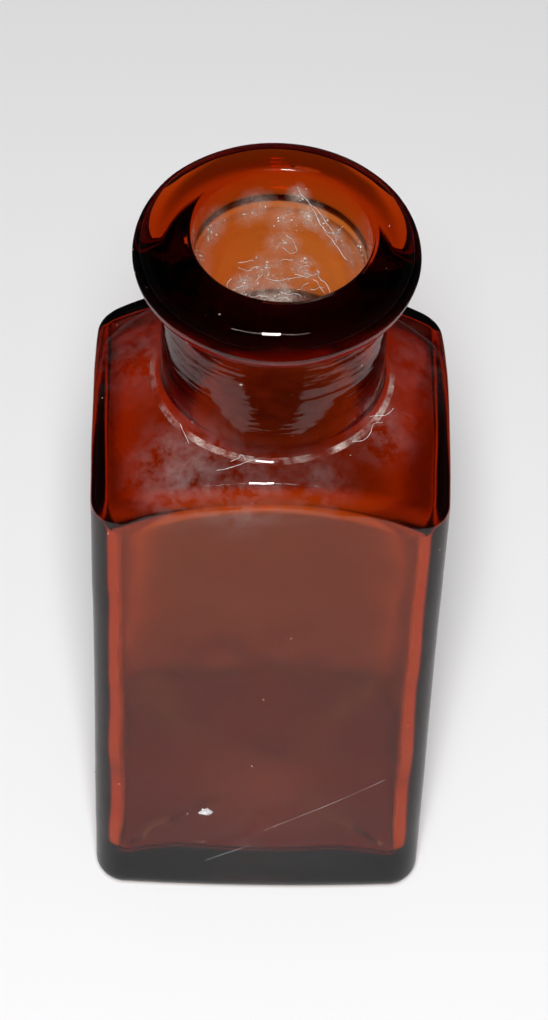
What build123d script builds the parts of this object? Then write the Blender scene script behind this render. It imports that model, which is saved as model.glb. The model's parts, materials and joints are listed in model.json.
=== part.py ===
from build123d import *
import os
from math import acos, degrees

# A small rectangular apothecary bottle of amber glass, made by hand in the way of about 1880.
# It is two pieces of glass. The body, with its shoulder and neck, was blown into a metal mould.
# The lip is a second gather of hot glass, laid round and over the cut end of the neck and tooled
# to a smooth ring. Nothing else belongs to the bottle as it stands: it is open and empty.
#
# Millimetres. The origin is the middle of the plane that the bottle stands on, +Z is up,
# and the broad front face looks along -Y.

# Body, outside
body_width = 26.1
body_depth = 21.7
front_crown = 0.4
side_crown = 0.1
corner_radius = 2.4
foot_radius = 2.2

# Shoulder: a shallow dome round the neck, cut off by the four faces
shoulder_top = 52.4
shoulder_dome_radius = 24.0
shoulder_edge_radius = 1.7

# Neck
neck_radius = 8.1
neck_wall = 2.25
neck_length = 9.95
neck_foot_radius = 1.5

# Lip: two quarter rounds with a narrow upright band between them, a little wider than the neck
lip_height = 4.15
lip_band = 0.45
lip_shelf = 0.15
mouth_edge_radius = 1.2
mouth_land = 0.2

# Glass thickness and the inside
wall = 1.4
shoulder_wall = 1.7
inner_corner_radius = 1.9
inner_shoulder_radius = 1.0
inner_foot_radius = 1.5
neck_throat_radius = 1.6
base_thickness = 3.6

# Push-up of the base: hollow below, swell inside
recess_radius = 6.4
recess_depth = 0.7
floor_swell = 1.3

# Worked out from the sizes above
bore_radius = neck_radius - neck_wall
lip_edge_radius = (lip_height - lip_band) / 2
lip_radius = neck_radius + lip_shelf + lip_edge_radius
lip_underside = shoulder_top + neck_length
lip_top = lip_underside + lip_height
neck_end = lip_top - mouth_edge_radius - mouth_land
cavity_width = body_width - 2 * wall
cavity_depth = body_depth - 2 * wall
corner_reach = (body_width**2 + body_depth**2) ** 0.5 / 2
swell_radius = cavity_depth / 2 - front_crown - inner_foot_radius
dome_centre = shoulder_top - (shoulder_dome_radius**2 - neck_radius**2) ** 0.5


def crowned_plan(width, depth, radius):
    """A rectangle seen from above, with slightly swollen sides and round corners."""
    half_x = width / 2 - side_crown
    half_y = depth / 2 - front_crown
    with BuildSketch() as plan:
        with BuildLine():
            ThreePointArc((-half_x, -half_y), (0, -depth / 2), (half_x, -half_y))
            ThreePointArc((half_x, -half_y), (width / 2, 0), (half_x, half_y))
            ThreePointArc((half_x, half_y), (0, depth / 2), (-half_x, half_y))
            ThreePointArc((-half_x, half_y), (-width / 2, 0), (-half_x, -half_y))
        make_face()
        fillet(plan.vertices(), radius)
    return plan.sketch


def shoulder_profile(tube_radius, tube_end, dome_radius, root_radius):
    """Half of a ball-shaped dome with a tube standing on it, filled down to the ground."""
    tube_angle = degrees(acos(tube_radius / dome_radius))
    rim_angle = degrees(acos(corner_reach / dome_radius))
    with BuildSketch() as profile:
        with BuildLine():
            dome = CenterArc((0, dome_centre), dome_radius, rim_angle, tube_angle - rim_angle)
            Polyline(dome @ 0, (corner_reach, 0), (0, 0), (0, tube_end), (tube_radius, tube_end), dome @ 1)
        make_face()
        root = profile.vertices().sort_by_distance(dome @ 1)[0]
        fillet(root, root_radius)
    return profile.sketch


def dome_rim(piece):
    """The edges where the dome meets the four upright faces."""
    dome = piece.faces().filter_by(GeomType.SPHERE)
    uprights = piece.faces().filter_by(GeomType.CYLINDER)
    return dome.edges() & uprights.edges()


def cap_ball_radius(chord_radius, height):
    """Radius of the ball whose cap has this radius at its rim and this height."""
    return (chord_radius**2 + height**2) / (2 * height)


# The hollow inside: a smaller copy of the body, opened upwards by the bore of the neck
with BuildPart() as hollow:
    with BuildSketch(Plane.XY.offset(base_thickness)):
        add(crowned_plan(cavity_width, cavity_depth, inner_corner_radius))
    extrude(amount=lip_top - base_thickness)
    with BuildSketch(Plane.XZ):
        dome_radius = shoulder_dome_radius - shoulder_wall
        add(shoulder_profile(bore_radius, lip_top, dome_radius, neck_throat_radius))
    revolve(axis=Axis.Z, mode=Mode.INTERSECT)
    fillet(dome_rim(hollow), inner_shoulder_radius)
    fillet(hollow.faces().sort_by(Axis.Z)[0].edges(), inner_foot_radius)
    swell_ball = cap_ball_radius(swell_radius, floor_swell)
    with Locations((0, 0, base_thickness + floor_swell - swell_ball)):
        Sphere(swell_ball, mode=Mode.SUBTRACT)

# The body: a blown box with a domed shoulder and a round neck, thick in the base
with BuildPart() as glass_body:
    with BuildSketch():
        add(crowned_plan(body_width, body_depth, corner_radius))
    extrude(amount=neck_end)
    with BuildSketch(Plane.XZ):
        add(shoulder_profile(neck_radius, neck_end, shoulder_dome_radius, neck_foot_radius))
    revolve(axis=Axis.Z, mode=Mode.INTERSECT)
    fillet(dome_rim(glass_body), shoulder_edge_radius)
    fillet(glass_body.faces().sort_by(Axis.Z)[0].edges(), foot_radius)
    add(hollow.part, mode=Mode.SUBTRACT)
    recess_ball = cap_ball_radius(recess_radius, recess_depth)
    with Locations((0, 0, recess_depth - recess_ball)):
        Sphere(recess_ball, mode=Mode.SUBTRACT)

# The lip: a ring of hot glass wound round the neck's end, rolled over its top and tooled smooth
with BuildPart() as applied_lip:
    with BuildSketch(Plane.XZ):
        with Locations((bore_radius, lip_underside)):
            low_inner = (Align.MIN, Align.MIN)
            Rectangle(lip_radius - bore_radius, lip_height, align=low_inner)
            Rectangle(neck_wall, neck_end - lip_underside, align=low_inner, mode=Mode.SUBTRACT)
    revolve(axis=Axis.Z)
    rims = applied_lip.edges().filter_by(GeomType.CIRCLE)
    fillet(rims.filter_by(lambda rim: rim.radius > neck_radius), lip_edge_radius)
    fillet(rims.filter_by(lambda rim: rim.radius < neck_radius).sort_by(Axis.Z)[-1], mouth_edge_radius)

glass_body.part.label = "glass_body"
applied_lip.part.label = "applied_lip"
os.makedirs("parts", exist_ok=True)
export_step(glass_body.part, "parts/glass_body.step")
export_step(applied_lip.part, "parts/applied_lip.step")
print("inside volume in ml:", round(hollow.part.volume / 1000, 1))
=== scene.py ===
# %% [markdown]
# A small amber apothecary bottle, seen from above on a pale floor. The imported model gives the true
# sizes, and everything here is built round it in the same place and at the same scale. Blender works
# in metres, and the lengths below are written in millimetres, because that is how a glass maker
# would measure them.

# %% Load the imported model
import json
import math
import bpy
import numpy as np
from mathutils import Matrix, Vector


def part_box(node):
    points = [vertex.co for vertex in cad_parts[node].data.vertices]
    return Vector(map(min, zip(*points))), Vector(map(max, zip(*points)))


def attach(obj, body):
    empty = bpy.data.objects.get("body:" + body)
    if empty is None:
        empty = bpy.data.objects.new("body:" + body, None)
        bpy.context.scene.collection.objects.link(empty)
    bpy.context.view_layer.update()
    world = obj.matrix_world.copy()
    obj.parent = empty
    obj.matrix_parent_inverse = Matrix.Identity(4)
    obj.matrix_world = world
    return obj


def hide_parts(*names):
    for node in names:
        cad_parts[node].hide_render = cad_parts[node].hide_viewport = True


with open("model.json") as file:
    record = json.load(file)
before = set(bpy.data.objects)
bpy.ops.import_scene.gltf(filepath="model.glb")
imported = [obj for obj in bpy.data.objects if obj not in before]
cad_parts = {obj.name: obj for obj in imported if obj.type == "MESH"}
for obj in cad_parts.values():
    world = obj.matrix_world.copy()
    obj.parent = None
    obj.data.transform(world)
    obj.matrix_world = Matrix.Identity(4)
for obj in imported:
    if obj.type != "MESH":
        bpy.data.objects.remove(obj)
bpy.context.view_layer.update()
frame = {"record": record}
MM = 0.001
body_low, body_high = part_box("glass_body")
lip_low, lip_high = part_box("applied_lip")

# %% [markdown]
# The glass could be two meshes, as in the CAD model, but then every ray of light would cross a false
# surface where the lip meets the neck. On the real bottle the two gathers of glass have fused, so
# here they are one closed skin: it starts in the middle of the base, runs up the outside, over the
# lip, down the bore, and ends in the middle of the floor inside. The skin is a stack of rings with
# the same number of points each. The first cell gives its sizes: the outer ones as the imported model
# has them, and the inner ones as the colour of the glass asks for, thicker at the sides and shoulder.

# %% Sizes of the bottle
width = (body_high.x - body_low.x) / MM
depth = (body_high.y - body_low.y) / MM
lip_top = lip_high.z / MM
lip_underside = lip_low.z / MM
lip_radius = (lip_high.x - lip_low.x) / 2 / MM
mouth = frame["record"]["mounts"][0]
bore_radius = mouth["dims"]["r_mm"]
front_crown = 0.4
side_crown = 0.1
corner_radius = 2.4
foot_radius = 2.2
shoulder_top = 52.4
dome_radius = 24.0
shoulder_edge = 1.7
neck_radius = 8.1
neck_foot = 1.5
recess_radius = 6.4
recess_depth = 0.7
face_wall = 1.4
side_wall = 1.6
shoulder_wall = 2.9
inner_corner = 1.0
inner_edge = 1.0
inner_foot = 1.5
throat = 1.6
base_thickness = 3.6
print("body", round(width, 2), "by", round(depth, 2), "mm, lip top at", round(lip_top, 2))

# %% [markdown]
# Every ring has to follow the same walk round the bottle, or the skin would twist. The walk goes
# through a quarter of the outline at a time: half a side face, one corner, half a broad face. The
# corners get more steps than their length asks for, because there the light bends most.

# %% The walk round the bottle
side_steps, corner_steps, face_steps = 18, 26, 24
quarter = np.concatenate([
    np.arange(side_steps) / side_steps,
    1 + np.arange(corner_steps) / corner_steps,
    2 + np.arange(face_steps) / face_steps,
])
walk = np.concatenate([quarter, 3 - quarter, quarter, 3 - quarter])
flip_x = np.repeat([1, -1, -1, 1], len(quarter))
flip_y = np.repeat([1, 1, -1, -1], len(quarter))
print("points in a ring:", len(walk))


# %% One outline
def outline(across, along, corner):
    """A rectangle with swollen faces and round corners: its points, and the way each point faces."""
    half_x, half_y = across / 2, along / 2
    side_bow = ((half_y - front_crown) ** 2 + side_crown**2) / (2 * side_crown)
    face_bow = ((half_x - side_crown) ** 2 + front_crown**2) / (2 * front_crown)
    corner_x, corner_y = half_x - corner, half_y - corner
    # Each pass moves the middle of the corner nearer to where its circle touches both faces.
    for _ in range(20):
        corner_x = half_x - side_bow + math.sqrt((side_bow - corner) ** 2 - corner_y**2)
        corner_y = half_y - face_bow + math.sqrt((face_bow - corner) ** 2 - corner_x**2)
    side_end = math.atan2(corner_y, corner_x - half_x + side_bow)
    face_start = math.atan2(corner_y - half_y + face_bow, corner_x)
    facing = np.interp(walk, [0, 1, 2, 3], [0, side_end, face_start, math.pi / 2])
    part = np.minimum(walk.astype(int), 2)
    bow = np.array([side_bow, corner, face_bow])[part]
    middle_x = np.array([half_x - side_bow, corner_x, 0])[part]
    middle_y = np.array([0, corner_y, half_y - face_bow])[part]
    facing_x, facing_y = np.cos(facing) * flip_x, np.sin(facing) * flip_y
    points = np.stack([middle_x * flip_x + bow * facing_x, middle_y * flip_y + bow * facing_y], 1)
    return points, np.stack([facing_x, facing_y], 1)


outer, outer_facing = outline(width, depth, corner_radius)
inner, inner_facing = outline(width - 2 * side_wall, depth - 2 * face_wall, inner_corner)
azimuth = np.arctan2(outer[:, 1], outer[:, 0])
spoke = np.stack([np.cos(azimuth), np.sin(azimuth)], 1)
print("outline:", round(np.ptp(outer[:, 0]), 2), "by", round(np.ptp(outer[:, 1]), 2), "mm")

# %% [markdown]
# The rest of the stack is laid ring by ring. Most rings come from three simple moves: a flat ring at a
# height, an arc in the bottle's section, and the rounding that a ball leaves between two surfaces.

# %% Rings and arcs
rings = []


def lay(flat, height):
    """Adds one ring: its points from above, and one height or a height for each point."""
    rings.append(np.column_stack([flat, np.broadcast_to(height, len(flat))]))


def arc(middle, radius, start, end, steps):
    """Adds rings along an arc in the bottle's section. Angles in degrees, middle as (radius, height)."""
    for angle in np.radians(np.linspace(start, end, steps)):
        lay(spoke * (middle[0] + radius * math.cos(angle)), middle[1] + radius * math.sin(angle))


def dome(flat, radius):
    """Height of a ball-shaped dome over these points."""
    return dome_middle + np.sqrt(radius**2 - (flat**2).sum(1))


def roll_edge(points, facing, edge, radius, steps):
    """Rings of the rounding that a ball leaves as it rolls between an upright face and the dome."""
    track = points - edge * facing
    height = dome(track, radius - edge)
    upright = np.column_stack([facing, np.zeros(len(facing))])
    ballward = np.column_stack([track, height - dome_middle]) / (radius - edge)
    turn = np.arccos((upright * ballward).sum(1))[:, None]
    made = []
    for share in np.linspace(0, 1, steps):
        way = (np.sin((1 - share) * turn) * upright + np.sin(share * turn) * ballward) / np.sin(turn)
        made.append(np.column_stack([track, height]) + edge * way)
    return made


dome_middle = shoulder_top - math.sqrt(dome_radius**2 - neck_radius**2)
print("middle of the shoulder's ball:", round(dome_middle, 2), "mm up")

# %% [markdown]
# The outside. The base is pushed up a little in its middle, so that the bottle stands on a rim. The
# body was blown into a mould, and its edges are as round as soft glass leaves them.

# %% Base, foot and walls
recess_ball = (recess_radius**2 + recess_depth**2) / (2 * recess_depth)
for radius in np.linspace(0, recess_radius, 12):
    lay(spoke * radius, math.sqrt(recess_ball**2 - radius**2) - recess_ball + recess_depth)
rim_edge = outer - foot_radius * outer_facing
for share in (0.25, 0.6, 0.9):
    lay(spoke * recess_radius * (1 - share) + rim_edge * share, 0)
for angle in np.radians(np.linspace(0, 90, 13)):
    lay(outer - foot_radius * (1 - math.sin(angle)) * outer_facing, foot_radius * (1 - math.cos(angle)))
edge_rings = roll_edge(outer, outer_facing, shoulder_edge, dome_radius, 15)
wall_top = edge_rings[0][:, 2]
for share in np.linspace(0, 1, 60)[1:-1]:
    lay(outer, foot_radius + (wall_top - foot_radius) * share)
rings.extend(edge_rings)
print("rings up to the dome:", len(rings))

# %% [markdown]
# The shoulder is a shallow dome, and a small hollow rounding carries it into the neck. The lip was
# wound on hot and tooled with a pair of shaped jaws, which leave it smooth and nearly round. Its top
# dips slightly towards the mouth, and the mouth's own edge is small and crisp.

# %% Shoulder, neck and lip
fillet_reach = neck_radius + neck_foot
fillet_middle = (fillet_reach, dome_middle + math.sqrt((dome_radius + neck_foot) ** 2 - fillet_reach**2))
dome_inner = spoke * fillet_reach * dome_radius / (dome_radius + neck_foot)
shoulder_start = edge_rings[-1][:, :2]
for share in np.linspace(0, 1, 12)[1:-1]:
    flat = shoulder_start * (1 - share) + dome_inner * share
    lay(flat, dome(flat, dome_radius))
fillet_start = 180 + math.degrees(math.acos(fillet_reach / (dome_radius + neck_foot)))
arc(fillet_middle, neck_foot, fillet_start, 180, 12)
for height in np.linspace(fillet_middle[1], lip_underside, 16)[1:-1]:
    lay(spoke * neck_radius, height)
lip_round = (lip_top - lip_underside) / 2
lip_middle = lip_radius - lip_round
lip_steps = 34
mouth_from = len(rings) + lip_steps // 2
arc((lip_middle, lip_underside + lip_round), lip_round, -90, 90, lip_steps)
mouth_radius = bore_radius + 0.4
mouth_round = 0.45
land_dip = 0.13
land_slope = 11
land_end = mouth_radius + mouth_round - mouth_round * math.sin(math.radians(land_slope))
for share in np.linspace(0, 1, 7)[1:]:
    lay(spoke * (lip_middle * (1 - share) + land_end * share), lip_top - land_dip * share**2)
mouth_height = lip_top - land_dip - mouth_round * math.cos(math.radians(land_slope))
arc((mouth_radius + mouth_round, mouth_height), mouth_round, 90 + land_slope, 180, 9)
print("mouth:", round(2 * mouth_radius, 2), "mm wide, rings up to it:", len(rings))

# %% [markdown]
# The inside is a smaller copy of the outside, but softer, because the mould never touched it. The
# bore narrows in a short cone below the mouth. The floor is arched from side to side, and a shallow
# dish in its middle takes the top off the arch.

# %% Bore and inside
inside_from = len(rings)
inner_dome_radius = dome_radius - shoulder_wall
throat_reach = bore_radius + throat
throat_height = dome_middle + math.sqrt((inner_dome_radius + throat) ** 2 - throat_reach**2)
cone_pace = 2.2
for share in np.linspace(0, 1, 18)[1:-1]:
    narrowing = (mouth_radius - bore_radius) * max(1 - cone_pace * share, 0) ** 2
    lay(spoke * (bore_radius + narrowing), mouth_height * (1 - share) + throat_height * share)
throat_end = 180 + math.degrees(math.acos(throat_reach / (inner_dome_radius + throat)))
arc((throat_reach, throat_height), throat, 180, throat_end, 12)
inner_edge_rings = roll_edge(inner, inner_facing, inner_edge, inner_dome_radius, 12)[::-1]
inner_start = spoke * throat_reach * inner_dome_radius / (inner_dome_radius + throat)
for share in np.linspace(0, 1, 14)[1:-1]:
    flat = inner_start * (1 - share) + inner_edge_rings[0][:, :2] * share
    lay(flat, dome(flat, inner_dome_radius))
rings.extend(inner_edge_rings)


def floor_height(flat):
    """Height of the inside floor: an arch from side to side with a dish in its middle."""
    across = np.abs(flat[:, 0]) / (width / 2 - side_wall)
    along = np.abs(flat[:, 1]) / (depth / 2 - face_wall)
    arch = floor_rise * np.maximum(1 - across**2, 0)
    dish = np.clip(1 - np.hypot(across, along), 0, 1)
    return base_thickness + arch * (1 - dish) ** 2 - floor_dish * (1 - (1 - dish) ** 2)


floor_rise = 2.2
floor_dish = 1.2
floor_edge = inner - inner_foot * inner_facing
floor_level = floor_height(floor_edge)
inner_top = inner_edge_rings[-1][:, 2]
for share in np.linspace(0, 1, 46)[1:-1]:
    lay(inner, inner_top + (floor_level + inner_foot - inner_top) * share)
for angle in np.radians(np.linspace(0, 90, 12)):
    lay(inner - inner_foot * (1 - math.cos(angle)) * inner_facing,
        floor_level + inner_foot * (1 - math.sin(angle)))
for share in np.linspace(0, 1, 16)[1:]:
    flat = floor_edge * (1 - share)
    lay(flat, floor_height(flat))
print("rings:", len(rings))

# %% [markdown]
# The real bottle isn't as true as a drawing. Its foot is a little wider than its waist, the shoulder
# sits a third of a millimetre lower at the back, and the mouth was opened a little to the right of
# the lip's middle. Each of these is a small smooth shift of the rings.

# %% What the maker's hand did
def ease(values, start, end):
    """0 before start, 1 after end, and a smooth turn between them."""
    share = np.clip((values - start) / (end - start), 0, 1)
    return share**2 * (3 - 2 * share)


foot_spread = 0.013
back_drop = 0.33
mouth_shift = 0.3
for index, ring in enumerate(rings):
    x, y, z = ring.T.copy()
    ring[:, 0] += foot_spread * x * (1 - ease(z, 0, 34))
    ring[:, 2] -= back_drop * ease(y, 0, 9) * ease(z, 38, 47) * (1 - ease(z, 54, 61))
    if index > mouth_from:
        reach = np.hypot(x, y)
        ring[:, 0] += mouth_shift * (1 - ease(reach, mouth_radius, lip_middle)) * ease(z, 40, 56)
print("widest ring:", round(max(np.ptp(ring[:, 0]) for ring in rings), 2), "mm")


# %% [markdown]
# Materials and Geometry Nodes are both trees of nodes, so one small helper adds a node to either. The
# colours in this lesson are written as sRGB hex, as a colour picker shows them, and a second helper
# turns them into the linear numbers that Blender counts with. Dirt lies in spots, so a third one
# tells how near a place is to the spots of a list.

# %% Small helpers for node trees, colours and objects
def node(tree, kind, inputs=None, **settings):
    """Adds one node. inputs gives each socket, by name or number, a value or the socket that feeds it."""
    made = tree.nodes.new(kind)
    for key, value in settings.items():
        setattr(made, key, value)
    for key, value in (inputs or {}).items():
        if isinstance(value, bpy.types.NodeSocket):
            tree.links.new(value, made.inputs[key])
        else:
            made.inputs[key].default_value = value
    return made


def linear(code):
    """An sRGB colour, written as six hex digits, in Blender's linear numbers."""
    parts = [int(code[at:at + 2], 16) / 255 for at in (1, 3, 5)]
    return [part / 12.92 if part <= 0.04045 else ((part + 0.055) / 1.055) ** 2.4 for part in parts] + [1]


def material(name):
    """A new material with an empty node tree."""
    made = bpy.data.materials.new(name)
    made.use_nodes = True
    made.node_tree.nodes.clear()
    return made


def near_spots(tree, here, spots):
    """Strongest in the middle of each spot. A spot is x, y, z and reach in millimetres, and strength."""
    total = None
    for x, y, z, reach, strength in spots:
        middle = (x * MM, y * MM, z * MM)
        away = node(tree, "ShaderNodeVectorMath", {0: here, 1: middle}, operation="DISTANCE")
        fade = node(tree, "ShaderNodeMapRange", {
            0: away.outputs["Value"], 1: 0.0, 2: reach * MM, 3: strength, 4: 0.0},
            interpolation_type="SMOOTHSTEP")
        if total is None:
            total = fade.outputs[0]
        else:
            more = node(tree, "ShaderNodeMath", {0: total, 1: fade.outputs[0]}, operation="MAXIMUM")
            total = more.outputs[0]
    return total


def placed(name, data):
    """A new object in the scene, at the origin."""
    made = bpy.data.objects.new(name, data)
    bpy.context.scene.collection.objects.link(made)
    return made


def mesh_of(name, points, lines=(), faces=(), finish=None):
    """A mesh from points, lines and faces, with one material if a finish is given."""
    mesh = bpy.data.meshes.new(name)
    mesh.from_pydata(points, lines, faces)
    if finish:
        mesh.materials.append(finish)
    return mesh


print("half of white is sRGB #BCBCBC, in linear numbers", round(linear("#BCBCBC")[0], 2))

# %% [markdown]
# The rings become one closed mesh. Each ring is joined to the next by a belt of four-sided faces, and
# the first and last rings close to a point. The inside gets an attribute called residue, because old
# glass is duller inside, where a film dried on it.

# %% Join the rings into one skin
def skin(name, stack):
    """A closed mesh from a stack of rings whose first and last rings are single points."""
    count = len(stack[0])
    inside = np.concatenate(stack[1:-1])
    points = np.vstack([stack[0][:1], inside, stack[-1][:1]]) * MM
    last = len(points) - 1
    here = np.arange(count)
    beyond = (here + 1) % count
    faces = [(0, 1 + b, 1 + a) for a, b in zip(here, beyond)]
    for row in range(len(stack) - 3):
        low, high = 1 + row * count, 1 + (row + 1) * count
        faces += [(low + a, low + b, high + b, high + a) for a, b in zip(here, beyond)]
    top = 1 + (len(stack) - 3) * count
    faces += [(top + a, top + b, last) for a, b in zip(here, beyond)]
    mesh = mesh_of(name, points, faces=faces)
    mesh.shade_smooth()
    return placed(name, mesh)


bottle = skin("amber_bottle", rings)
dullness_inside = 0.18
is_inside_from = 0.05
residue = np.zeros(len(rings))
residue[inside_from:] = dullness_inside
residue = np.concatenate([residue[:1], np.repeat(residue[1:-1], len(walk)), residue[-1:]])
bottle.data.attributes.new("residue", "FLOAT", "POINT").data.foreach_set("value", residue)
print("bottle faces:", len(bottle.data.polygons))


# %% [markdown]
# The surface of the glass comes first. It is smooth, and only the film dulls it inside. The shaping
# tool left fine rings round the neck. They come from a bump, because they are only hundredths of a
# millimetre deep: a noise that is squeezed upwards, and fades out below and above the neck.

# %% The surface: the film inside and the marks of the tool
amber = material("amber_soda_lime_glass_mould_blown")
tree = amber.node_tree
place_on = node(tree, "ShaderNodeTexCoord")
residue_here = node(tree, "ShaderNodeAttribute", attribute_name="residue")
blown_roughness = 0.02
dulled = node(tree, "ShaderNodeMath", {
    0: residue_here.outputs["Fac"], 1: blown_roughness}, operation="ADD")
height = node(tree, "ShaderNodeSeparateXYZ", {0: place_on.outputs["Object"]})
above = node(tree, "ShaderNodeMapRange", {0: height.outputs["Z"], 1: 51 * MM, 2: 54 * MM})
below = node(tree, "ShaderNodeMapRange", {0: height.outputs["Z"], 1: 65 * MM, 2: 62 * MM})
on_neck = node(tree, "ShaderNodeMath", {0: above.outputs[0], 1: below.outputs[0]}, operation="MULTIPLY")
ring_length, ring_pitch = 5 * MM, 0.7 * MM
squeezed = node(tree, "ShaderNodeMapping", {
    "Vector": place_on.outputs["Object"], "Scale": (1 / ring_length, 1 / ring_length, 1 / ring_pitch)})
rings_of_tool = node(tree, "ShaderNodeTexNoise", {
    "Vector": squeezed.outputs[0], "Scale": 1.0, "Detail": 2.0})
tool_depth = node(tree, "ShaderNodeMath", {
    0: rings_of_tool.outputs[0], 1: on_neck.outputs[0]}, operation="MULTIPLY")
tooled = node(tree, "ShaderNodeBump", {
    "Strength": 1.0, "Distance": 0.02 * MM, "Height": tool_depth.outputs[0]})
print("rings of the tool are", round(ring_pitch / MM, 1), "mm apart")

# %% [markdown]
# Dust lies on the outside in faint cloudy patches, mostly on the shoulder. It is far too thin for a
# mesh, so it changes the glass: where it lies, the surface lets less light in and scatters pale grey.

# %% The surface: settled dust
dusty_places = [
    (-6.0, -8.5, 51, 6.0, 0.09), (-2, -10.2, 50, 5.0, 0.08), (7.5, -5, 51.5, 4.0, 0.07),
    (3, -9.5, 50.5, 4.0, 0.05), (8, 3, 51, 8.0, 0.04), (-8, 3, 51, 8.0, 0.05), (0, -10.8, 8, 14.0, 0.012),
]
settled = near_spots(tree, place_on.outputs["Object"], dusty_places)
dust_noise = node(tree, "ShaderNodeTexNoise", {
    "Vector": place_on.outputs["Object"], "Scale": 1 / (1.6 * MM), "Detail": 8.0, "Roughness": 0.72})
dust_patches = node(tree, "ShaderNodeMapRange", {0: dust_noise.outputs[0], 1: 0.4, 2: 0.66})
is_outside = node(tree, "ShaderNodeMath", {
    0: residue_here.outputs["Fac"], 1: is_inside_from}, operation="LESS_THAN")
dust = node(tree, "ShaderNodeMath", {0: settled, 1: dust_patches.outputs[0]}, operation="MULTIPLY")
dust = node(tree, "ShaderNodeMath", {0: dust.outputs[0], 1: is_outside.outputs[0]}, operation="MULTIPLY")
clean = node(tree, "ShaderNodeMath", {0: 1.0, 1: dust.outputs[0]}, operation="SUBTRACT")
tint = node(tree, "ShaderNodeMix", {
    0: clean.outputs[0], 6: linear("#B9A7A6"), 7: (1, 1, 1, 1)}, data_type="RGBA")
print("patches of dust:", len(dusty_places))

# %% [markdown]
# The glass is soda-lime, turned amber by iron and sulphur in the melt. Its colour is in its depth, so
# the surface is clear, and a volume takes light away: blue first, then green, red last. A thin wall
# looks orange, and the thick lip nearly black. Light from a lamp would not get through refracting
# glass to the floor, so rays that look for a lamp meet clear tinted glass instead.

# %% Amber glass
glass = node(tree, "ShaderNodeBsdfPrincipled", {
    "Base Color": tint.outputs[2], "Transmission Weight": clean.outputs[0], "IOR": 1.52,
    "Roughness": dulled.outputs[0], "Normal": tooled.outputs[0]})
colour_depth = node(tree, "ShaderNodeVolumeAbsorption", {
    "Color": linear("#F3CB7C"), "Density": 2000.0})
clear = node(tree, "ShaderNodeBsdfTransparent", {"Color": linear("#B8B5B1")})
ray = node(tree, "ShaderNodeLightPath")
lets_lamps_through = node(tree, "ShaderNodeMixShader", {
    0: ray.outputs["Is Shadow Ray"], 1: glass.outputs[0], 2: clear.outputs[0]})
node(tree, "ShaderNodeOutputMaterial", {
    "Surface": lets_lamps_through.outputs[0], "Volume": colour_depth.outputs[0]})
print("nodes in the amber glass:", len(tree.nodes))

# %% [markdown]
# Waves, films of dirt and of painted shade, crumbs and lint each follow a rule, so Geometry Nodes make
# them. Two helpers serve every tree: one opens a tree with named inputs for its sizes, and the other
# runs a tree on a piece and keeps the result as a plain mesh.

# %% Two helpers for Geometry Nodes
def geometry_tree(name, inputs):
    """An empty Geometry Nodes tree with a geometry input, number inputs and a geometry output."""
    made = bpy.data.node_groups.new(name, "GeometryNodeTree")
    made.interface.new_socket("Geometry", in_out="INPUT", socket_type="NodeSocketGeometry")
    made.interface.new_socket("Geometry", in_out="OUTPUT", socket_type="NodeSocketGeometry")
    for label, value in inputs.items():
        kind = "NodeSocketInt" if isinstance(value, int) else "NodeSocketFloat"
        made.interface.new_socket(label, in_out="INPUT", socket_type=kind).default_value = value
    return made


def grown(piece, tree, sizes):
    """Runs a tree on a piece with these sizes, and keeps the result as the piece's plain mesh."""
    modifier = piece.modifiers.new("grown", "NODES")
    modifier.node_group = tree
    for socket in tree.interface.items_tree:
        if socket.in_out == "INPUT" and socket.name in sizes:
            modifier[socket.identifier] = sizes[socket.name]
    evaluated = piece.evaluated_get(bpy.context.evaluated_depsgraph_get())
    mesh = bpy.data.meshes.new_from_object(evaluated)
    piece.modifiers.remove(modifier)
    piece.data = mesh
    piece.data.name = piece.name


# %% [markdown]
# Glass that is blown into a mould by hand is never flat. The outside takes small waves from the cold
# metal, and the inside, which touches nothing, has larger ones. The tree pushes each point along its
# normal by a noise pattern, less outside than inside, and leaves the foot flat.

# %% A tree that makes the glass wavy
waves = geometry_tree("hand_blown_waves", {
    "Outside wave": 0.02, "Inside wave": 0.08, "Outside length": 5.0, "Inside length": 7.0})
start = node(waves, "NodeGroupInput")
here = node(waves, "GeometryNodeInputPosition")
facing = node(waves, "GeometryNodeInputNormal")
inside = node(waves, "GeometryNodeInputNamedAttribute", {"Name": "residue"}, data_type="FLOAT")
is_inside = node(waves, "FunctionNodeCompare", {
    0: inside.outputs["Attribute"], 1: is_inside_from}, operation="GREATER_THAN")


def waves_of(length, height, seed):
    """A noise pattern of this wave length and height in millimetres, as a length in metres."""
    pitch = node(waves, "ShaderNodeMath", {0: 1000.0, 1: length}, operation="DIVIDE")
    noise = node(waves, "ShaderNodeTexNoise", {
        "Vector": here.outputs[0], "W": seed, "Scale": pitch.outputs[0], "Detail": 1.0},
        noise_dimensions="4D")
    level = node(waves, "ShaderNodeMath", {0: noise.outputs[0], 1: 0.5}, operation="SUBTRACT")
    tall = node(waves, "ShaderNodeMath", {0: level.outputs[0], 1: height}, operation="MULTIPLY")
    # Noise seldom strays more than a quarter from its middle, so four times that is the full height.
    return node(waves, "ShaderNodeMath", {0: tall.outputs[0], 1: 4 * MM}, operation="MULTIPLY").outputs[0]


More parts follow.
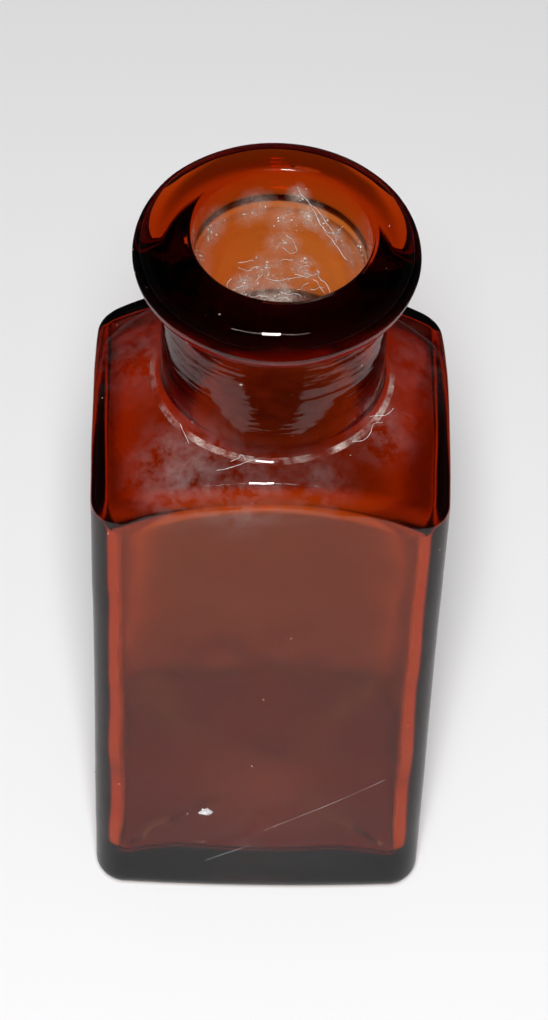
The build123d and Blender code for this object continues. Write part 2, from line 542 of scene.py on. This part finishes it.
out_wave = waves_of(start.outputs["Outside length"], start.outputs["Outside wave"], 3.0)
in_wave = waves_of(start.outputs["Inside length"], start.outputs["Inside wave"], 8.0)
wave = node(waves, "GeometryNodeSwitch", {
    "Switch": is_inside.outputs[0], "False": out_wave, "True": in_wave}, input_type="FLOAT")
split = node(waves, "ShaderNodeSeparateXYZ", {0: here.outputs[0]})
off_floor = node(waves, "ShaderNodeMapRange", {0: split.outputs["Z"], 1: 0.5 * MM, 2: 3 * MM})
kept = node(waves, "ShaderNodeMath", {0: wave.outputs[0], 1: off_floor.outputs[0]}, operation="MULTIPLY")
push = node(waves, "ShaderNodeVectorMath", {
    0: facing.outputs[0], "Scale": kept.outputs[0]}, operation="SCALE")
moved = node(waves, "GeometryNodeSetPosition", {
    "Geometry": start.outputs["Geometry"], "Offset": push.outputs[0]})
real = node(waves, "GeometryNodeRealizeInstances", {0: moved.outputs[0]})
coated = node(waves, "GeometryNodeSetMaterial", {"Geometry": real.outputs[0], "Material": amber})
node(waves, "NodeGroupOutput", {0: coated.outputs[0]})
print("nodes in the tree of waves:", len(waves.nodes))

# %% Run it on the bottle
grown(bottle, waves, {
    "Outside wave": 0.025, "Inside wave": 0.09, "Outside length": 5.0, "Inside length": 6.0})
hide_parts("glass_body", "applied_lip")
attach(bottle, "root")
print("bottle after the waves:", len(bottle.data.polygons), "faces")

# %% [markdown]
# An old bottle from the ground isn't clean. What was in it dried to a pale crust in the neck, dust
# settled in the hollow where the neck meets the shoulder, and lint stuck to both. Each film is lifted
# off the bottle's own faces, so it follows the glass, and an attribute called cover says how thick it
# lies. One tree makes every film, the dirt and a film of painted shade in the neck: it keeps the faces
# between two heights, and thickens the film round a few spots.

# %% A tree that lifts a film off the glass, for dirt and for painted shade
def film_tree(name, spots, inner, finish):
    """A tree that turns the bottle into a film with a ragged edge, for dirt and for painted shade."""
    tree = geometry_tree(name, {
        "Lift": 0.03, "Lowest": 51.0, "Highest": 66.0, "Reach": 30.0, "Grain": 0.8, "Seed": 1.0,
        "Bare below": 0.38, "Full above": 0.68})
    start = node(tree, "NodeGroupInput")
    sized = start.outputs
    here = node(tree, "GeometryNodeInputPosition")
    place = node(tree, "ShaderNodeVectorMath", {0: here.outputs[0], "Scale": 1000.0}, operation="SCALE")
    split = node(tree, "ShaderNodeSeparateXYZ", {0: place.outputs[0]})
    flat = node(tree, "ShaderNodeVectorMath", {0: place.outputs[0], 1: (1, 1, 0)}, operation="MULTIPLY")
    reach = node(tree, "ShaderNodeVectorMath", {0: flat.outputs[0]}, operation="LENGTH")
    residue = node(tree, "GeometryNodeInputNamedAttribute", {"Name": "residue"}, data_type="FLOAT")
    chosen = True
    for value, limit, side in (
            (residue.outputs["Attribute"], is_inside_from, "GREATER_THAN" if inner else "LESS_THAN"),
            (split.outputs["Z"], sized["Lowest"], "GREATER_THAN"),
            (split.outputs["Z"], sized["Highest"], "LESS_THAN"),
            (reach.outputs["Value"], sized["Reach"], "LESS_THAN")):
        test = node(tree, "FunctionNodeCompare", {0: value, 1: limit}, operation=side)
        both = node(tree, "FunctionNodeBooleanMath", {0: chosen, 1: test.outputs[0]}, operation="AND")
        chosen = both.outputs[0]
    part = node(tree, "GeometryNodeSeparateGeometry", {
        "Geometry": start.outputs["Geometry"], "Selection": chosen}, domain="FACE")
    fine = node(tree, "GeometryNodeSubdivideMesh", {"Mesh": part.outputs[0], "Level": 1})
    pitch = node(tree, "ShaderNodeMath", {0: 1000.0, 1: sized["Grain"]}, operation="DIVIDE")
    noise = node(tree, "ShaderNodeTexNoise", {
        "Vector": here.outputs[0], "W": sized["Seed"], "Scale": pitch.outputs[0], "Detail": 4.0,
        "Roughness": 0.65}, noise_dimensions="4D")
    patchy = node(tree, "ShaderNodeMapRange", {
        0: noise.outputs[0], 1: sized["Bare below"], 2: sized["Full above"]})
    cover = node(tree, "ShaderNodeMath", {
        0: near_spots(tree, here.outputs[0], spots), 1: patchy.outputs[0]}, operation="MULTIPLY")
    marked = node(tree, "GeometryNodeStoreNamedAttribute", {
        "Geometry": fine.outputs[0], "Name": "cover", "Value": cover.outputs[0]},
        data_type="FLOAT", domain="POINT")
    bare = node(tree, "FunctionNodeCompare", {0: cover.outputs[0], 1: 0.02}, operation="LESS_THAN")
    ragged = node(tree, "GeometryNodeDeleteGeometry", {
        "Geometry": marked.outputs[0], "Selection": bare.outputs[0]}, domain="FACE")
    facing = node(tree, "GeometryNodeInputNormal")
    rise = node(tree, "ShaderNodeMath", {0: noise.outputs[0], 1: sized["Lift"]}, operation="MULTIPLY")
    rise = node(tree, "ShaderNodeMath", {0: rise.outputs[0], 1: 2 * MM}, operation="MULTIPLY")
    push = node(tree, "ShaderNodeVectorMath", {
        0: facing.outputs[0], "Scale": rise.outputs[0]}, operation="SCALE")
    lifted = node(tree, "GeometryNodeSetPosition", {
        "Geometry": ragged.outputs[0], "Offset": push.outputs[0]})
    real = node(tree, "GeometryNodeRealizeInstances", {0: lifted.outputs[0]})
    coated = node(tree, "GeometryNodeSetMaterial", {"Geometry": real.outputs[0], "Material": finish})
    node(tree, "NodeGroupOutput", {0: coated.outputs[0]})
    return tree


# %% [markdown]
# A film lets light through where it is thin. The cover attribute and a fine noise set how much
# it hides. There are three: lime and dust dried to a chalky, pale brown crust, a dark brown film in
# the neck that is painted shade and swallows the light behind it, and loose dust, paler and finer in
# its grain.
# All three are matt. Their grain is written in millimetres. That of real dust is far too fine to
# show, so it is drawn this coarse.

# %% Dried films, and a film of painted shade
def film_material(name, colour, most, grain, thinnest):
    """A matt film of dirt, or of painted shade: this colour, hiding at most this share and in its thin
    grains this part of it.
    """
    made = material(name)
    tree = made.node_tree
    place = node(tree, "ShaderNodeTexCoord")
    cover = node(tree, "ShaderNodeAttribute", attribute_name="cover")
    noise = node(tree, "ShaderNodeTexNoise", {
        "Vector": place.outputs["Object"], "Scale": 1000 / grain, "Detail": 5.0, "Roughness": 0.7})
    grainy = node(tree, "ShaderNodeMapRange", {0: noise.outputs[0], 1: 0.35, 2: 0.65, 3: thinnest, 4: 1.0})
    hides = node(tree, "ShaderNodeMath", {
        0: cover.outputs["Fac"], 1: grainy.outputs[0]}, operation="MULTIPLY")
    hides = node(tree, "ShaderNodeMath", {
        0: hides.outputs[0], 1: most}, operation="MULTIPLY", use_clamp=True)
    dirt = node(tree, "ShaderNodeBsdfPrincipled", {
        "Base Color": linear(colour), "Roughness": 0.85, "Alpha": hides.outputs[0]})
    node(tree, "ShaderNodeOutputMaterial", {"Surface": dirt.outputs[0]})
    return made


pale_film = film_material("lime_and_dust_dried_film", "#C3AEA2", 1.0, 0.3, 0.45)
# The dark brown film is painted shade: it darkens the view into the neck from the front.
shade_film_finish = film_material("dark_film_painted_shade", "#2A130B", 0.85, 0.9, 0.8)
dust_film = film_material("dust_settled_film", "#C9BCB4", 0.95, 0.2, 0.4)

# %% [markdown]
# The crust lies on the back wall of the bore, thickest low down and in a smear that runs up to the
# right. Round the front of the bore a dark brown film is painted shade, which makes the neck look
# nearly black from the front. The dust lies in a ring in the hollow at the foot of the neck.

# %% Films in the mouth and round the neck
def film(name, tree, sizes):
    """A film of dirt, or the painted shade in the neck, made from a copy of the bottle."""
    made = placed(name, bottle.data.copy())
    grown(made, tree, sizes)
    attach(made, "root")
    print(name, "faces:", len(made.data.polygons))
    return made


crust_spots = [
    (0.2, 5.7, 53.8, 3.4, 1.0), (-2.2, 5.2, 55.5, 2.3, 0.9), (2.2, 5.4, 57.4, 1.7, 0.8),
    (0.6, 5.8, 59.6, 1.8, 0.6), (2.6, 5.5, 62.6, 1.8, 1.0), (4.2, 4.3, 61.6, 1.7, 1.0),
    (1.6, 5.9, 64.3, 1.2, 0.7), (5.2, 3.0, 61.2, 1.4, 0.7), (-4.6, 3.4, 63.2, 2.4, 0.6),
    (-5.4, 1.0, 62.0, 2.4, 0.55), (-1.6, 5.6, 63.2, 2.2, 0.5), (5.6, 1.5, 63.0, 2.0, 0.6),
    (0.8, 5.8, 62.0, 2.0, 0.6), (-0.6, 5.8, 57.0, 2.2, 0.7),
]
crust = film("crust_in_mouth", film_tree("crust_film", crust_spots, True, pale_film), {
    "Lift": 0.04, "Lowest": 51.5, "Highest": 65.6, "Reach": 6.9, "Grain": 1.1, "Seed": 2.0,
    "Bare below": 0.3, "Full above": 0.54})
# Painted shade: a nearly black film round the front of the bore, where the neck looks dark.
shade_spots = [(0, -5.9, 57, 9.0, 1.0), (-5.5, -2, 57, 6.0, 0.8), (5.5, -2, 57, 6.0, 0.8)]
film("painted_shade_in_neck", film_tree("painted_shade_tree", shade_spots, True, shade_film_finish), {
    "Lift": 0.02, "Lowest": 50.5, "Highest": 63.5, "Reach": 6.9, "Grain": 6.0, "Seed": 5.0,
    "Bare below": 0.15, "Full above": 0.45})
ring_spots = [
    (7.6, -4.0, 52.3, 2.2, 1.0), (8.5, -1.5, 52.3, 1.8, 0.8), (6.0, -6.3, 52.2, 1.4, 0.6),
    (4.8, -7.2, 52.2, 1.2, 0.9), (-5.2, -7.0, 52.2, 1.5, 1.0), (-3.6, -7.9, 52.2, 1.6, 0.8),
    (-1.6, -8.5, 52.3, 1.6, 0.5), (1.5, -8.5, 52.3, 2.2, 0.45), (-7.4, -4.6, 52.2, 1.8, 0.5),
    (-8.6, -0.5, 52.3, 2.5, 0.3), (-6.0, 6.2, 52.2, 4.0, 0.5), (6.0, 6.2, 52.2, 4.0, 0.5),
    (0, 8.7, 52.2, 4.0, 0.4),
]
ring_film = film("dust_round_neck", film_tree("ring_film", ring_spots, False, dust_film), {
    "Lift": 0.02, "Lowest": 52.08, "Highest": 52.42, "Reach": 8.85, "Grain": 0.7, "Seed": 3.0,
    "Bare below": 0.36, "Full above": 0.6})

# %% [markdown]
# Crumbs of the crust are too many to place by hand. A second tree scatters points over a film, more
# where its cover is greater, and puts the same small flake on each point, turned and sized at random
# from a fixed seed. One flake has twenty faces.

# %% A tree that scatters crumbs
def crumb_tree(name, finish):
    """A tree that scatters flakes over a surface that has a cover attribute."""
    tree = geometry_tree(name, {"Per square mm": 4.0, "Smallest": 0.05, "Largest": 0.16, "Seed": 1})
    start = node(tree, "NodeGroupInput")
    sized = start.outputs
    cover = node(tree, "GeometryNodeInputNamedAttribute", {"Name": "cover"}, data_type="FLOAT")
    thick = node(tree, "ShaderNodeMath", {0: cover.outputs["Attribute"], 1: 2.0}, operation="POWER")
    dense = node(tree, "ShaderNodeMath", {
        0: thick.outputs[0], 1: sized["Per square mm"]}, operation="MULTIPLY")
    per_square_metre = 1e6
    dense = node(tree, "ShaderNodeMath", {
        0: dense.outputs[0], 1: per_square_metre}, operation="MULTIPLY")
    points = node(tree, "GeometryNodeDistributePointsOnFaces", {
        "Mesh": start.outputs["Geometry"], "Density": dense.outputs[0], "Seed": sized["Seed"]})
    ball = node(tree, "GeometryNodeMeshIcoSphere", {"Radius": 1.0, "Subdivisions": 1})
    flake = node(tree, "GeometryNodeTransform", {"Geometry": ball.outputs[0], "Scale": (1.0, 0.6, 0.35)})
    # Each flake is turned about every axis by up to 6.28 radians, a whole turn.
    turn = node(tree, "FunctionNodeRandomValue", {
        0: (0, 0, 0), 1: (6.28, 6.28, 6.28), "Seed": sized["Seed"]}, data_type="FLOAT_VECTOR")
    least = node(tree, "ShaderNodeMath", {0: sized["Smallest"], 1: MM}, operation="MULTIPLY")
    most = node(tree, "ShaderNodeMath", {0: sized["Largest"], 1: MM}, operation="MULTIPLY")
    draw = node(tree, "FunctionNodeRandomValue", {2: 0.0, 3: 1.0, "Seed": sized["Seed"]}, data_type="FLOAT")
    # A power of a number between 0 and 1 is mostly small, as crumbs are.
    often_small = node(tree, "ShaderNodeMath", {0: draw.outputs[1], 1: 2.5}, operation="POWER")
    size = node(tree, "ShaderNodeMapRange", {
        0: often_small.outputs[0], 3: least.outputs[0], 4: most.outputs[0]})
    strewn = node(tree, "GeometryNodeInstanceOnPoints", {
        "Points": points.outputs[0], "Instance": flake.outputs[0], "Rotation": turn.outputs[0],
        "Scale": size.outputs[0]})
    real = node(tree, "GeometryNodeRealizeInstances", {0: strewn.outputs[0]})
    coated = node(tree, "GeometryNodeSetMaterial", {"Geometry": real.outputs[0], "Material": finish})
    node(tree, "NodeGroupOutput", {0: coated.outputs[0]})
    return tree


# %% [markdown]
# A crumb is a bit of dried lime and dust: matt, and a little darker in its hollows. Lint is spun
# cotton, off-white and the most matt of all, because light gets lost between its fibres. Bruised
# glass is full of small cracks that scatter white, with some gloss left on the splinters.

# %% Crumbs, lint and bruised glass
def matt_material(name, light, shade, grain, rough):
    """A matt finish whose colour wanders between two sRGB colours, with a grain in millimetres."""
    made = material(name)
    tree = made.node_tree
    place = node(tree, "ShaderNodeTexCoord")
    noise = node(tree, "ShaderNodeTexNoise", {
        "Vector": place.outputs["Object"], "Scale": 1000 / grain, "Detail": 3.0})
    spread = node(tree, "ShaderNodeMapRange", {0: noise.outputs[0], 1: 0.35, 2: 0.65})
    colour = node(tree, "ShaderNodeMix", {
        0: spread.outputs[0], 6: linear(shade), 7: linear(light)}, data_type="RGBA")
    body = node(tree, "ShaderNodeBsdfPrincipled", {"Base Color": colour.outputs[2], "Roughness": rough})
    node(tree, "ShaderNodeOutputMaterial", {"Surface": body.outputs[0]})
    return made


crumb = matt_material("lime_crumb_dried", "#D9CCC2", "#9A7F70", 0.3, 0.8)
lint = matt_material("cotton_lint_spun", "#DAD3D0", "#A99C98", 0.5, 0.9)
bruise = matt_material("glass_bruised_by_a_knock", "#E8E6E6", "#A8A2A4", 0.2, 0.55)


def crumbs(name, ground, sizes):
    """Crumbs scattered over a copy of a surface."""
    made = placed(name, ground.copy())
    grown(made, crumb_tree(name + "_tree", crumb), sizes)
    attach(made, "root")
    print(name, "flakes:", len(made.data.polygons) // 20)


crumbs("crumbs_in_mouth", crust.data, {
    "Per square mm": 40.0, "Smallest": 0.02, "Largest": 0.14, "Seed": 4})
crumbs("crumbs_round_neck", ring_film.data, {
    "Per square mm": 220.0, "Smallest": 0.012, "Largest": 0.06, "Seed": 7})

# %% [markdown]
# A few specks of dust sit on the outside. The same tree makes them: the bottle's outer face gets an
# even cover, and the density is so low that there are only a hundred or so.

# %% Specks on the outside
ground = bottle.data.copy()
spots = np.zeros(len(ground.vertices) * 3)
ground.vertices.foreach_get("co", spots)
outside = np.zeros(len(ground.vertices))
bottle.data.attributes["residue"].data.foreach_get("value", outside)
clear_of_floor = 4 * MM
dusty = np.where((outside < is_inside_from) & (spots[2::3] > clear_of_floor), 1.0, 0.0)
ground.attributes.new("cover", "FLOAT", "POINT").data.foreach_set("value", dusty)
crumbs("specks_outside", ground, {
    "Per square mm": 0.022, "Smallest": 0.03, "Largest": 0.13, "Seed": 11})

# %% [markdown]
# Lint is thin thread. A third tree follows a path of a few points, smooths it and gives it a round
# section. A scratch is drawn in the same way, thinner and pressed into the glass.

# %% A tree for threads
def thread_tree(name, finish):
    """A tree that turns lines of points into round threads."""
    tree = geometry_tree(name, {"Radius": 0.02, "Step": 0.12, "Wobble": 0.05})
    start = node(tree, "NodeGroupInput")
    sized = start.outputs
    line = node(tree, "GeometryNodeMeshToCurve", {"Mesh": start.outputs["Geometry"]})
    smooth = node(tree, "GeometryNodeCurveSplineType", {
        "Curve": line.outputs[0]}, spline_type="CATMULL_ROM")
    step = node(tree, "ShaderNodeMath", {0: sized["Step"], 1: MM}, operation="MULTIPLY")
    even = node(tree, "GeometryNodeResampleCurve", {
        "Curve": smooth.outputs[0], "Length": step.outputs[0]}, mode="LENGTH")
    here = node(tree, "GeometryNodeInputPosition")
    bends_per_mm = 1.5
    noise = node(tree, "ShaderNodeTexNoise", {
        "Vector": here.outputs[0], "Scale": bends_per_mm / MM, "Detail": 2.0})
    level = node(tree, "ShaderNodeVectorMath", {
        0: noise.outputs["Color"], 1: (0.5, 0.5, 0.5)}, operation="SUBTRACT")
    swing = node(tree, "ShaderNodeMath", {0: sized["Wobble"], 1: MM}, operation="MULTIPLY")
    shift = node(tree, "ShaderNodeVectorMath", {
        0: level.outputs[0], "Scale": swing.outputs[0]}, operation="SCALE")
    wavy = node(tree, "GeometryNodeSetPosition", {
        "Geometry": even.outputs[0], "Offset": shift.outputs[0]})
    thick = node(tree, "ShaderNodeMath", {0: sized["Radius"], 1: MM}, operation="MULTIPLY")
    ring = node(tree, "GeometryNodeCurvePrimitiveCircle", {"Resolution": 6, "Radius": thick.outputs[0]})
    tube = node(tree, "GeometryNodeCurveToMesh", {
        "Curve": wavy.outputs[0], "Profile Curve": ring.outputs[0], "Fill Caps": True})
    real = node(tree, "GeometryNodeRealizeInstances", {0: tube.outputs[0]})
    coated = node(tree, "GeometryNodeSetMaterial", {"Geometry": real.outputs[0], "Material": finish})
    node(tree, "NodeGroupOutput", {0: coated.outputs[0]})
    return tree


def threads(name, paths, lift, sizes, finish):
    """Threads that lie on the glass. A path is a list of points, each pulled to the nearest glass."""
    points, lines = [], []
    for path in paths:
        first = len(points)
        for spot in path:
            _, on_glass, facing, _ = bottle.closest_point_on_mesh(Vector(spot) * MM)
            points.append(on_glass + facing * lift * MM)
        lines += [(at, at + 1) for at in range(first, len(points) - 1)]
    made = placed(name, mesh_of(name, points, lines))
    grown(made, thread_tree(name + "_tree", finish), sizes)
    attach(made, "root")
    print(name, "threads:", len(paths), "faces:", len(made.data.polygons))


# %% [markdown]
# The longest lint runs down the right of the bore, and a tangle of short bits lies low at its back.
# The paths are drawn where they show, and the short bits wander at random from a fixed seed.

# %% Lint in the mouth
bore_lint = [
    [(1.5, 6.0, 65.0), (1.7, 5.9, 64.6), (2.3, 5.7, 63.9), (3.0, 5.3, 63.4), (3.8, 4.7, 62.5),
     (4.3, 4.2, 62.0)],
    [(2.2, 5.7, 64.1), (2.9, 5.3, 62.9), (3.3, 5.0, 62.2), (3.9, 4.6, 61.9), (4.6, 3.9, 62.6)],
    [(3.0, 5.2, 62.8), (3.6, 4.8, 61.8), (4.4, 4.1, 61.2), (5.0, 3.3, 60.6), (5.3, 2.8, 60.9)],
    [(4.7, 3.8, 63.3), (4.5, 4.1, 62.6), (4.3, 4.3, 61.9), (4.4, 4.1, 61.5)],
    [(0.8, 5.8, 60.4), (1.3, 5.7, 59.9), (1.6, 5.6, 59.0), (1.2, 5.7, 58.6), (0.6, 5.8, 59.1)],
    [(-2.6, 5.0, 57.8), (-1.9, 5.3, 57.1), (-1.2, 5.6, 57.3), (-0.8, 5.7, 56.4), (-1.3, 5.6, 55.8)],
    [(-0.6, 5.8, 56.0), (0.2, 5.9, 55.6), (1.1, 5.8, 55.9), (1.9, 5.6, 56.3), (2.4, 5.4, 56.9)],
]
random = np.random.default_rng(8)
short_bits, bit_reach = 26, 5.8
for _ in range(short_bits):
    turn, height = random.uniform(-0.75, 0.75), random.uniform(52.5, 58.0)
    path = []
    heading = random.uniform(0, 2 * math.pi)
    for _ in range(5):
        path.append((bit_reach * math.sin(turn), bit_reach * math.cos(turn), height))
        heading += random.uniform(-0.9, 0.9)
        turn += 0.06 * math.cos(heading)
        height += 0.35 * math.sin(heading)
    bore_lint.append(path)
lint_radius = 0.022
threads("lint_in_mouth", bore_lint, 0.1, {"Radius": lint_radius, "Step": 0.12, "Wobble": 0.25}, lint)

# %% [markdown]
# Some bits of lint caught on the shoulder, and there are three scratches on the front face. A scratch
# is a fine line of bruised glass, let into the face for about half of its thickness.

# %% Lint on the shoulder, and scratches
shoulder_lint = [
    [(-3.9, -9.1, 51.6), (-3.4, -9.1, 51.8), (-2.6, -8.9, 51.9), (-1.9, -8.7, 52.1), (-1.0, -8.5, 52.3)],
    [(-3.0, -8.6, 52.1), (-2.5, -8.5, 52.3), (-2.2, -8.2, 52.4), (-1.9, -8.5, 52.2)],
    [(5.6, -6.6, 52.1), (6.4, -6.4, 52.0), (7.0, -5.8, 52.1), (7.2, -5.0, 52.2), (7.9, -4.6, 52.0)],
    [(7.0, -4.7, 52.7), (7.6, -4.2, 52.3), (8.2, -3.9, 52.0), (8.7, -3.2, 51.9)],
    [(-6.6, -5.4, 52.4), (-6.2, -6.2, 52.1), (-5.9, -6.9, 51.9)],
]
threads("lint_on_shoulder", shoulder_lint, 0.03, {
    "Radius": lint_radius, "Step": 0.12, "Wobble": 0.12}, lint)
scratches = [
    [(0.5, -10.9, 9.5), (3.3, -10.8, 11.5), (6.4, -10.8, 13.7), (9.8, -10.6, 16.3)],
    [(-4.2, -10.8, 5.0), (-2.4, -10.8, 6.2), (-0.6, -10.8, 7.3)],
    [(-5.1, -10.8, 7.9), (-4.6, -10.8, 7.5), (-4.3, -10.8, 7.8)],
]
threads("scratches", scratches, -0.004, {"Radius": 0.011, "Step": 0.3, "Wobble": 0.06}, bruise)

# %% [markdown]
# Low on the front face a knock has crushed a spot of glass, which shows white because its many small
# cracks scatter the light. It is a flat star of splinters, a little proud of the face.

# %% The knock mark
chip_middle = (-4.31, -10.83, 11.85)
splinters = 15
wider, taller = 1.4, 1.25
proud, sunk = 0.03, 0.03
rough_edge = random.uniform(0.22, 0.5, splinters)
around = np.arange(splinters) * 2 * math.pi / splinters
star_x = rough_edge * wider * np.cos(around)
star_z = rough_edge * taller * np.sin(around)
ridges = np.column_stack([star_x / 2, -proud * (1 + np.arange(splinters) % 2), star_z / 2])
tips = np.column_stack([star_x, np.full(splinters, sunk), star_z])
chip_points = (np.vstack([[(0, -0.05, 0)], ridges, tips]) + chip_middle) * MM
chip_faces = [tuple(range(2 * splinters, splinters, -1))]
for at in range(splinters):
    then = (at + 1) % splinters
    chip_faces.append((0, 1 + at, 1 + then))
    chip_faces.append((1 + at, 1 + splinters + at, 1 + splinters + then, 1 + then))
chip = placed("knock_mark", mesh_of("knock_mark", chip_points, faces=chip_faces, finish=bruise))
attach(chip, "root")
print("knock mark:", round(np.ptp(star_x), 2), "by", round(np.ptp(star_z), 2), "mm")

# %% [markdown]
# The bottle stands on a plain pale floor, matt like uncoated paper. The floor lies a hair under the
# foot, so that light leaving the glass still meets it. Seen through the glass it glows a little by
# itself, which stands for the light that such a floor scatters in under the bottle.

# %% Floor
paper = material("pale_uncoated_paper")
tree = paper.node_tree
matt = node(tree, "ShaderNodeBsdfDiffuse", {"Color": linear("#ECEBEC")})
ray = node(tree, "ShaderNodeLightPath")
glow_share = 0.24
seen_through_glass = node(tree, "ShaderNodeMath", {
    0: ray.outputs["Is Transmission Ray"], 1: glow_share}, operation="MULTIPLY")
white = node(tree, "ShaderNodeEmission", {"Color": (1, 1, 1, 1), "Strength": 1.0})
pale = node(tree, "ShaderNodeMixShader", {
    0: seen_through_glass.outputs[0], 1: matt.outputs[0], 2: white.outputs[0]})
node(tree, "ShaderNodeOutputMaterial", {"Surface": pale.outputs[0]})
reach = 1.5
corners = [(-reach, -reach), (reach, -reach), (reach, reach), (-reach, reach)]
gap = 0.05 * MM
floor_points = [(x, y, -gap) for x, y in corners]
floor = placed("floor", mesh_of("floor", floor_points, faces=[(0, 1, 2, 3)], finish=paper))
print("floor:", 2 * reach, "m square")

# %% [markdown]
# Glass shows what stands round it. Near the bottle it mirrors the pale floor, and farther off the room
# was dark, which makes the lip black. Sheets of black paper that only mirrored rays can see do the
# same here: a ring round the bottle, one sheet in front, and a thin net over the floor close by.
# Black paper is matt and gives back almost nothing, and the net hides about half of the floor.

# %% Dark surround
def veil(name, cover):
    """Black paper, or a black net, that hides this share of what lies behind it."""
    made = material(name)
    tree = made.node_tree
    black = node(tree, "ShaderNodeBsdfDiffuse", {"Color": linear("#191919")})
    open_weave = node(tree, "ShaderNodeBsdfTransparent")
    mix = node(tree, "ShaderNodeMixShader", {0: cover, 1: open_weave.outputs[0], 2: black.outputs[0]})
    node(tree, "ShaderNodeOutputMaterial", {"Surface": mix.outputs[0]})
    return made


dark = veil("black_paper", 1.0)
net = veil("black_net", 0.45)


def flag(name, corners, height, finish=dark):
    """A flat sheet that only reflections see."""
    points = [(x * MM, y * MM, height * MM) for x, y in corners]
    made = placed(name, mesh_of(name, points, faces=[tuple(range(len(corners)))], finish=finish))
    made.visible_camera = False
    made.visible_diffuse = False
    made.visible_shadow = False
    made.visible_transmission = False


near, far = 61, 900
paper_height, net_height = 0.4, 0.3
spread = [math.radians(angle) for angle in range(0, 360, 10)]
rim = [(near * math.cos(angle), near * math.sin(angle)) for angle in spread]
edge = [(far * math.cos(angle), far * math.sin(angle)) for angle in spread]
for at in range(len(spread)):
    then = (at + 1) % len(spread)
    flag(f"flag_ring_{at}", [rim[at], edge[at], edge[then], rim[then]], paper_height)
flag("flag_middle", [(-42, -70), (42, -70), (30, -52), (-30, -52)], paper_height)
flag("flag_net", rim, net_height, net)
print("sheets in the dark ring:", len(spread))

# %% [markdown]
# The world is a dim grey room, a little lighter near the horizon, and darker in reflections.

# %% World
world = bpy.data.worlds.new("studio")
bpy.context.scene.world = world
world.use_nodes = True
tree = world.node_tree
tree.nodes.clear()
way = node(tree, "ShaderNodeTexCoord")
split = node(tree, "ShaderNodeSeparateXYZ", {0: way.outputs["Generated"]})
low_sky, high_sky = (math.sin(math.radians(angle)) for angle in (12, 40))
height = node(tree, "ShaderNodeMapRange", {
    0: split.outputs["Z"], "From Min": low_sky, "From Max": high_sky, "To Min": 0.2, "To Max": 0.04},
    interpolation_type="SMOOTHSTEP")
ray = node(tree, "ShaderNodeLightPath")
shown = node(tree, "ShaderNodeMapRange", {
    0: ray.outputs["Is Glossy Ray"], "To Min": 1.0, "To Max": 0.1})
strength = node(tree, "ShaderNodeMath", {0: height.outputs[0], 1: shown.outputs[0]}, operation="MULTIPLY")
sky = node(tree, "ShaderNodeBackground", {"Color": (1, 1, 1, 1), "Strength": strength.outputs[0]})
node(tree, "ShaderNodeOutputWorld", {"Surface": sky.outputs[0]})
print("nodes in the world:", len(tree.nodes))

# %% [markdown]
# The camera looks down at about 50 degrees from 26 centimetres away, close enough for the lip to look
# larger than the foot. Its place and lens were fitted to the outline of the bottle.

# %% Camera
azimuth_deg, elevation_deg, roll_deg = -1.935, 50.07, 2.382
distance, aim = 263.6, Vector((0, 0, 28.0))
slide_x, slide_y = 0.767, 5.44
focal_px = 3380.0
turn, rise, roll = (math.radians(angle) for angle in (azimuth_deg, elevation_deg, roll_deg))
back = Vector((math.sin(turn) * math.cos(rise), -math.cos(turn) * math.cos(rise), math.sin(rise)))
right = Vector((math.cos(turn), math.sin(turn), 0))
up = back.cross(right)
tilted_right = math.cos(roll) * right + math.sin(roll) * up
tilted_up = math.cos(roll) * up - math.sin(roll) * right
frame_height_px = 1020
camera_data = bpy.data.cameras.new("camera")
camera_data.sensor_width = 36
camera_data.lens = focal_px * camera_data.sensor_width / frame_height_px
camera_data.clip_start = 10 * MM
camera = placed("camera", camera_data)
place = aim + distance * back + slide_x * tilted_right + slide_y * tilted_up
axes = Matrix((tilted_right, tilted_up, back)).transposed()
camera.matrix_world = Matrix.Translation(place * MM) @ axes.to_4x4()
bpy.context.scene.camera = camera
print("lens:", round(camera_data.lens, 1), "mm, camera", round(place.length), "mm from the foot")


# %% [markdown]
# The light comes from beside the camera. A large soft lamp lights the floor and the glass, a small one
# leaves the bright spots on the lip and the shoulder, and a narrow strip draws the thin line along the
# shoulder's edge.

# %% Lamps
def lamp(name, place, aim, size, power):
    """A flat lamp at a place, turned towards another. Millimetres, and watts."""
    light = bpy.data.lights.new(name, "AREA")
    light.shape = "RECTANGLE"
    light.size, light.size_y = size[0] * MM, size[1] * MM
    light.energy = power
    made = placed(name, light)
    made.location = Vector(place) * MM
    made.rotation_mode = "QUATERNION"
    made.rotation_quaternion = (Vector(aim) - Vector(place)).to_track_quat("-Z", "Y")
    return made


key_distance = 700
key_place = aim + key_distance * (back + 0.08 * tilted_up).normalized()
key = lamp("key", key_place, (0, 0, 20), (150, 150), 5.1)
key.visible_glossy = False
key.visible_transmission = False
upper_body = (0, 0, 40)
flash_place = place + 45 * tilted_up - 5 * tilted_right
lamp("flash", flash_place, upper_body, (44, 36), 0.2)
strip_place = flash_place + 14 * back
lamp("strip", strip_place, upper_body, (190, 9), 0.03)
print("lamps:", len(bpy.data.lights))

# %% [markdown]
# Light has to cross many glass surfaces before it comes out again, so the number of bounces goes up.

# %% Finish
scene = bpy.context.scene
scene.view_settings.view_transform = "Standard"
scene.cycles.caustics_refractive = False
scene.cycles.caustics_reflective = False
scene.cycles.transmission_bounces = 24
scene.cycles.max_bounces = 32
scene.cycles.transparent_max_bounces = 32
